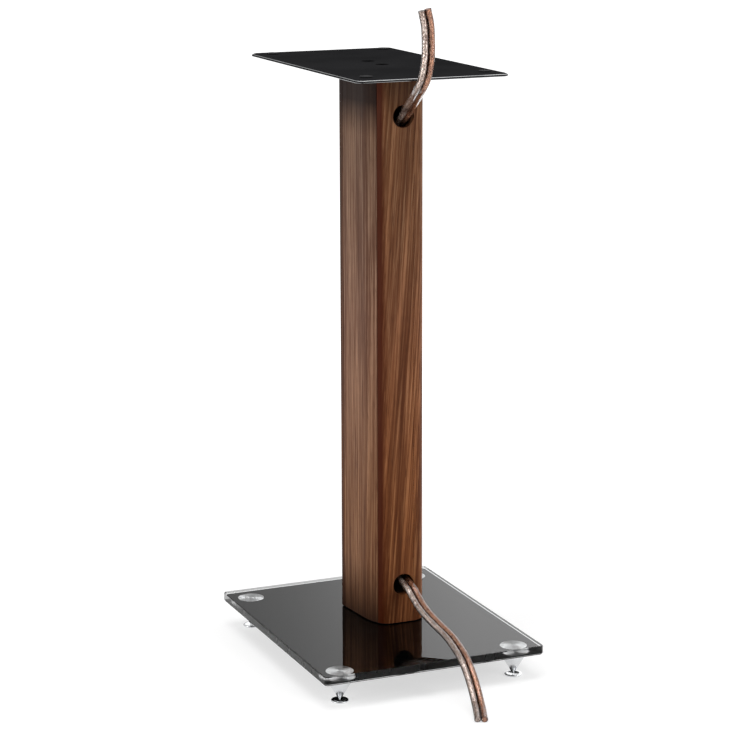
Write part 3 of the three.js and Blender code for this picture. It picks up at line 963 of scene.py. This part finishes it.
BEVEL_WIDTH = 3 * MM
BEVEL_HEIGHT = 1 * MM
BRIGHT_WIDTH = 0.8 * MM  # of the bevel, where its coat was cut away
PLATE_CORNER = 8 * MM
PLATE_LIP = 0.45 * MM  # of the rim's lower edge
PLATE_EDGE = 0.1 * MM  # of the rim's upper edge, under the bevel
PLATE_SMOOTH = radians(12)
RIM_REACH = 6 * MM  # faces nearer to a side than this belong to the rim
SINK_RADIUS = 6.75 * MM
SCREW_HOLE = 3.3 * MM  # radius


def add_top():
    low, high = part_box("top_plate")
    step = high.z - BEVEL_HEIGHT
    bright_top = step + BEVEL_HEIGHT * BRIGHT_WIDTH / BEVEL_WIDTH
    crest = (BEVEL_WIDTH - 0.2 * MM, high.z - 0.02 * MM)
    rim = [(PLATE_LIP, low.z), (0, low.z + PLATE_LIP), (0, step - PLATE_EDGE), (PLATE_EDGE, step)]
    rim += [(BRIGHT_WIDTH, bright_top), crest, (BEVEL_WIDTH, high.z)]
    solid = slab(low, high, PLATE_CORNER, rim)
    plate = add_piece("top_plate_cut", *solid, plate_material(), smooth=PLATE_SMOOTH)
    cut_away(plate, [countersink(end) for end in ENDS], PLATE_SMOOTH)
    plate.data.materials.append(bevel_material())
    for face in plate.data.polygons:
        if rim_distance(face, low, high) > RIM_REACH:
            continue
        upper = 0.5 < face.normal.z < 0.99 and face.center.z < bright_top
        lower = -0.9 < face.normal.z < -0.3
        if upper or lower:
            face.material_index = 1
    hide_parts("top_plate")

    dark = screw_material()
    for end in ENDS:
        add_top_screw(end, dark)
    rubber = rubber_material()
    for foot in FEET:
        add_pad(foot, rubber)


def countersink(end):
    low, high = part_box("top_plate")
    middle = centre(f"top_screw_{end}")
    depth = SINK_RADIUS - SCREW_HOLE
    below = low.z - 5 * MM
    above = high.z + 5 * MM
    profile = [(0, below), (SCREW_HOLE, below), (SCREW_HOLE, high.z - depth)]
    profile += [(SINK_RADIUS, high.z), (SINK_RADIUS, above), (0, above)]
    return add_piece("tool", *turned(profile, middle.x, middle.y, 64), None, None)


def add_top_screw(end, material):
    node = f"top_screw_{end}"
    low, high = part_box(node)
    middle = centre(node)
    radius = (high.y - low.y) / 2
    shank = 3 * MM  # radius
    point = 2.6 * MM  # radius
    head_height = 3.7 * MM
    socket_radius = 2.4 * MM
    socket_depth = 2 * MM
    profile = [(0, low.z), (point, low.z), (shank, low.z + 0.5 * MM), (shank, high.z - head_height)]
    profile += [(radius, high.z - 0.15 * MM), (radius - 0.3 * MM, high.z), (0, high.z)]
    made = add_piece(f"{node}_turned", *turned(profile, middle.x, middle.y, 64), material)
    floor = high.z - socket_depth
    socket = rod_tool(socket_radius, middle.x, middle.y, floor, high.z + socket_depth, sides=6)
    cut_away(made, [socket])
    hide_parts(node)


def add_pad(foot, material):
    node = f"pad_{foot}"
    low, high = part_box(node)
    middle = centre(node)
    radius = (high.y - low.y) / 2
    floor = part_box("top_plate")[1].z
    edge_height = 0.4 * MM
    edge_width = 0.6 * MM
    profile = [(0, floor), (radius, floor), (radius, high.z - edge_height), (radius - edge_width, high.z)]
    profile += [(radius * 0.5, high.z - 0.05 * MM), (0, high.z - 0.08 * MM)]
    solid = turned(eased(profile, 0.3 * MM), middle.x, middle.y, 64)
    made = add_piece(f"{node}_moulded", *solid, material)
    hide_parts(node)


# Carried CAD pieces


def dress_hidden():
    """Finishes for the fixings inside the stand."""
    timber = timber_material()
    finishes = {
        "column_gasket": rubber_material(),
        "column_top_block": timber,
        "column_bottom_block": timber,
    }
    steel = plated_material()
    brass = brass_material()
    nylon = nylon_material()
    for end in ENDS:
        finishes[f"base_screw_{end}"] = steel
        finishes[f"base_washer_{end}"] = steel
        finishes[f"base_bush_{end}"] = nylon
        finishes[f"base_insert_{end}"] = brass
        finishes[f"top_insert_{end}"] = brass
    for node, material in finishes.items():
        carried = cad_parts[node]
        if not carried.material_slots:
            carried.data.materials.append(material)
        for entry in carried.material_slots:
            entry.material = material


# Studio


def add_floor():
    """White paper: it keeps a soft shadow near the stand and turns plain white further off."""
    half = 30  # metres
    corners = [(-half, -half, 0), (half, -half, 0), (half, half, 0), (-half, half, 0)]
    paper = Paint("floor_paper", Roughness=0.9, Specular_IOR_Level=0.0)
    cloud = paper.noise((1.5, 1.5, 1.5), 2)
    path = paper.node("LightPath").outputs
    shiny = paper.combine(path["Is Glossy Ray"], path["Is Transmission Ray"], "MAXIMUM")
    seen = paper.combine(path["Is Camera Ray"], shiny, "MAXIMUM")
    lit = paper.ramp(cloud, (0.3, grey(0.88)), (0.7, grey(0.9)))
    paper.paint("Base Color", paper.mix(seen, lit, (*grey(0.42), 1)))
    where = paper.node("TexCoord").outputs["Object"]
    reach = paper.node("VectorMath", {0: where}, operation="LENGTH").outputs["Value"]
    near, far = 0.5, 1.1  # metres from the stand, where the glow starts to grow and is full
    glow = paper.levels(reach, near, far, 0.62, 1.02)
    paper.set(paper.shader.inputs["Emission Color"], (1, 1, 1, 1))
    paper.set(paper.shader.inputs["Emission Strength"], paper.combine(seen, glow, "MULTIPLY"))
    floor = add_piece("floor", corners, [(0, 1, 2, 3)], paper.material, None)


def add_world():
    """White behind everything; what metal and glass see is a ring of light and shade."""
    world = bpy.data.worlds.new("studio")
    world.use_nodes = True
    bpy.context.scene.world = world
    tree = world.node_tree
    out = tree.nodes["Background"]
    where = tree.nodes.new("ShaderNodeTexCoord")
    round_about = tree.nodes.new("ShaderNodeTexGradient")
    round_about.gradient_type = "RADIAL"
    tree.links.new(where.outputs["Generated"], round_about.inputs["Vector"])
    ring = tree.nodes.new("ShaderNodeValToRGB")
    tree.links.new(round_about.outputs["Fac"], ring.inputs["Fac"])
    stops = (
        (0.00, 1.50),
        (0.178, 1.65),
        (0.194, 0.58),
        (0.30, 0.60),
        (0.40, 0.95),
        (0.50, 0.80),
        (0.60, 0.40),
        (0.686, 0.25),
        (0.78, 0.45),
        (0.90, 1.40),
    )
    while len(ring.color_ramp.elements) < len(stops):
        ring.color_ramp.elements.new(0.5)
    for element, (place, level) in zip(ring.color_ramp.elements, stops):
        element.position = place
        element.color = (level, level, level, 1)
    path = tree.nodes.new("ShaderNodeLightPath")
    seen = tree.nodes.new("ShaderNodeMix")
    seen.data_type = "RGBA"
    clear = tree.nodes.new("ShaderNodeMath")
    clear.operation = "MAXIMUM"
    tree.links.new(path.outputs["Is Camera Ray"], clear.inputs[0])
    tree.links.new(path.outputs["Is Transmission Ray"], clear.inputs[1])
    tree.links.new(clear.outputs["Value"], seen.inputs["Factor"])
    tree.links.new(ring.outputs["Color"], seen.inputs["A"])
    seen.inputs["B"].default_value = (1, 1, 1, 1)
    tree.links.new(seen.outputs["Result"], out.inputs["Color"])
    dim = tree.nodes.new("ShaderNodeMapRange")
    tree.links.new(path.outputs["Is Diffuse Ray"], dim.inputs["Value"])
    dim.inputs["To Min"].default_value = 1.0
    dim.inputs["To Max"].default_value = 0.42
    tree.links.new(dim.outputs["Result"], out.inputs["Strength"])


def add_lamp(name, place, aim, width, height, power):
    data = bpy.data.lights.new(name, "AREA")
    data.shape = "RECTANGLE"
    data.size = width
    data.size_y = height
    data.energy = power
    lamp = bpy.data.objects.new(name, data)
    lamp.location = place
    lamp.rotation_euler = (Vector(aim) - Vector(place)).to_track_quat("-Z", "Y").to_euler()
    bpy.context.scene.collection.objects.link(lamp)


def add_lamps():
    add_lamp("lamp_above", (0.2, 0.1, 2.4), (0, 0, 0.2), 1.8, 1.8, 38)
    add_lamp("lamp_left", (2.1, 0.35, 0.9), (0, 0, 0.3), 0.9, 1.4, 22)
    add_lamp("lamp_right", (-1.4, 1.9, 1.1), (0, 0, 0.3), 0.9, 1.6, 20)


add_camera()
add_cables()
add_feet()
add_base()
add_column()
add_top()
dress_hidden()
add_floor()
add_world()
add_lamps()
bpy.context.scene.view_settings.view_transform = "Standard"
